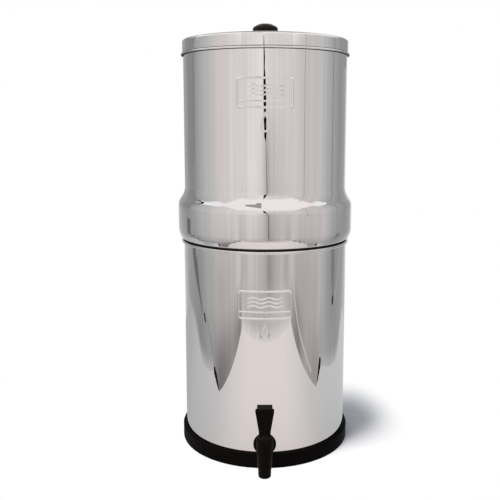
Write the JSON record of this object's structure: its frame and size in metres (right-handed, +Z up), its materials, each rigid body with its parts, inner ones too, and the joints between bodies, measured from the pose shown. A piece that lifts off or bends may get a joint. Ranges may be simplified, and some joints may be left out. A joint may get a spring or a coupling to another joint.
{
  "type": "gravity water filter",
  "caption": "Upright gravity water filter: stacked round stainless chambers under a flat lid, filter elements inside, a rubber base ring and a black lever tap at the foot.",
  "frame": {"origin": "centre of the base ring's underside, on the chambers' common axis", "axes": "+Z up along the chambers' axis, -Y out of the front towards the tap, +X to the right seen from the front"},
  "size_m": [0.2552, 0.3035, 0.6131],
  "materials": {
    "polished_steel": "mirror-polished spun stainless steel with faint polishing lines",
    "screw_steel": "plain turned stainless steel",
    "spring_steel": "drawn stainless spring wire",
    "knob_plastic": "glossy black phenolic",
    "tap_plastic": "black moulded plastic with a fine grain",
    "fitting_plastic": "black moulded plastic",
    "filter_carbon": "matt porous pressed carbon",
    "base_rubber": "matt black moulded rubber",
    "seal_rubber": "soft black rubber",
    "silicone": "milky food-grade silicone"
  },
  "bodies": {
    "lower_unit": {"base_ring": "base_rubber", "lower_chamber": "polished_steel", "tap_body": "tap_plastic", "tap_bonnet": "tap_plastic", "tap_spring": "spring_steel", "tap_outer_washer": "seal_rubber", "tap_inner_washer": "seal_rubber", "tap_nut": "tap_plastic"},
    "upper_unit": {"upper_chamber": "polished_steel", "filter_element_1": "filter_carbon", "filter_element_2": "filter_carbon", "filter_base_1": "fitting_plastic", "filter_base_2": "fitting_plastic", "filter_washer_1": "seal_rubber", "filter_washer_2": "seal_rubber", "filter_wing_nut_1": "fitting_plastic", "filter_wing_nut_2": "fitting_plastic", "hole_plug_1": "fitting_plastic", "hole_plug_2": "fitting_plastic", "hole_plug_washer_1": "seal_rubber", "hole_plug_washer_2": "seal_rubber", "hole_plug_wing_nut_1": "fitting_plastic", "hole_plug_wing_nut_2": "fitting_plastic"},
    "lid_unit": {"lid": "polished_steel", "lid_knob": "knob_plastic", "lid_knob_washer": "seal_rubber", "lid_knob_screw": "screw_steel"},
    "valve_stem": {"tap_stem": "tap_plastic", "tap_seat_cup": "silicone"},
    "lever": {"tap_handle": "tap_plastic", "tap_handle_pin": "screw_steel"}
  },
  "joints": [
    {"name": "upper_lift", "type": "slide", "parent": "lower_unit", "child": "upper_unit", "axis": [0, 0, 1], "range_m": [0, 0.12]},
    {"name": "lid_lift", "type": "slide", "parent": "upper_unit", "child": "lid_unit", "axis": [0, 0, 1], "range_m": [0, 0.1]},
    {"name": "stem_lift", "type": "slide", "parent": "lower_unit", "child": "valve_stem", "axis": [0, 0, 1], "range_m": [0, 0.004], "deforming": ["tap_spring"]},
    {"name": "handle_tilt", "type": "hinge", "parent": "valve_stem", "child": "lever", "pos_m": [0, -0.165, 0.0697], "axis": [1, 0, 0], "range_deg": [0, 45], "stiffness_Nm_per_rad": 0.0115, "springref_deg": -79.64}
  ],
  "couplings": [
    {"joint": "stem_lift", "follows": "handle_tilt", "m_per_rad": 0.005}
  ]
}
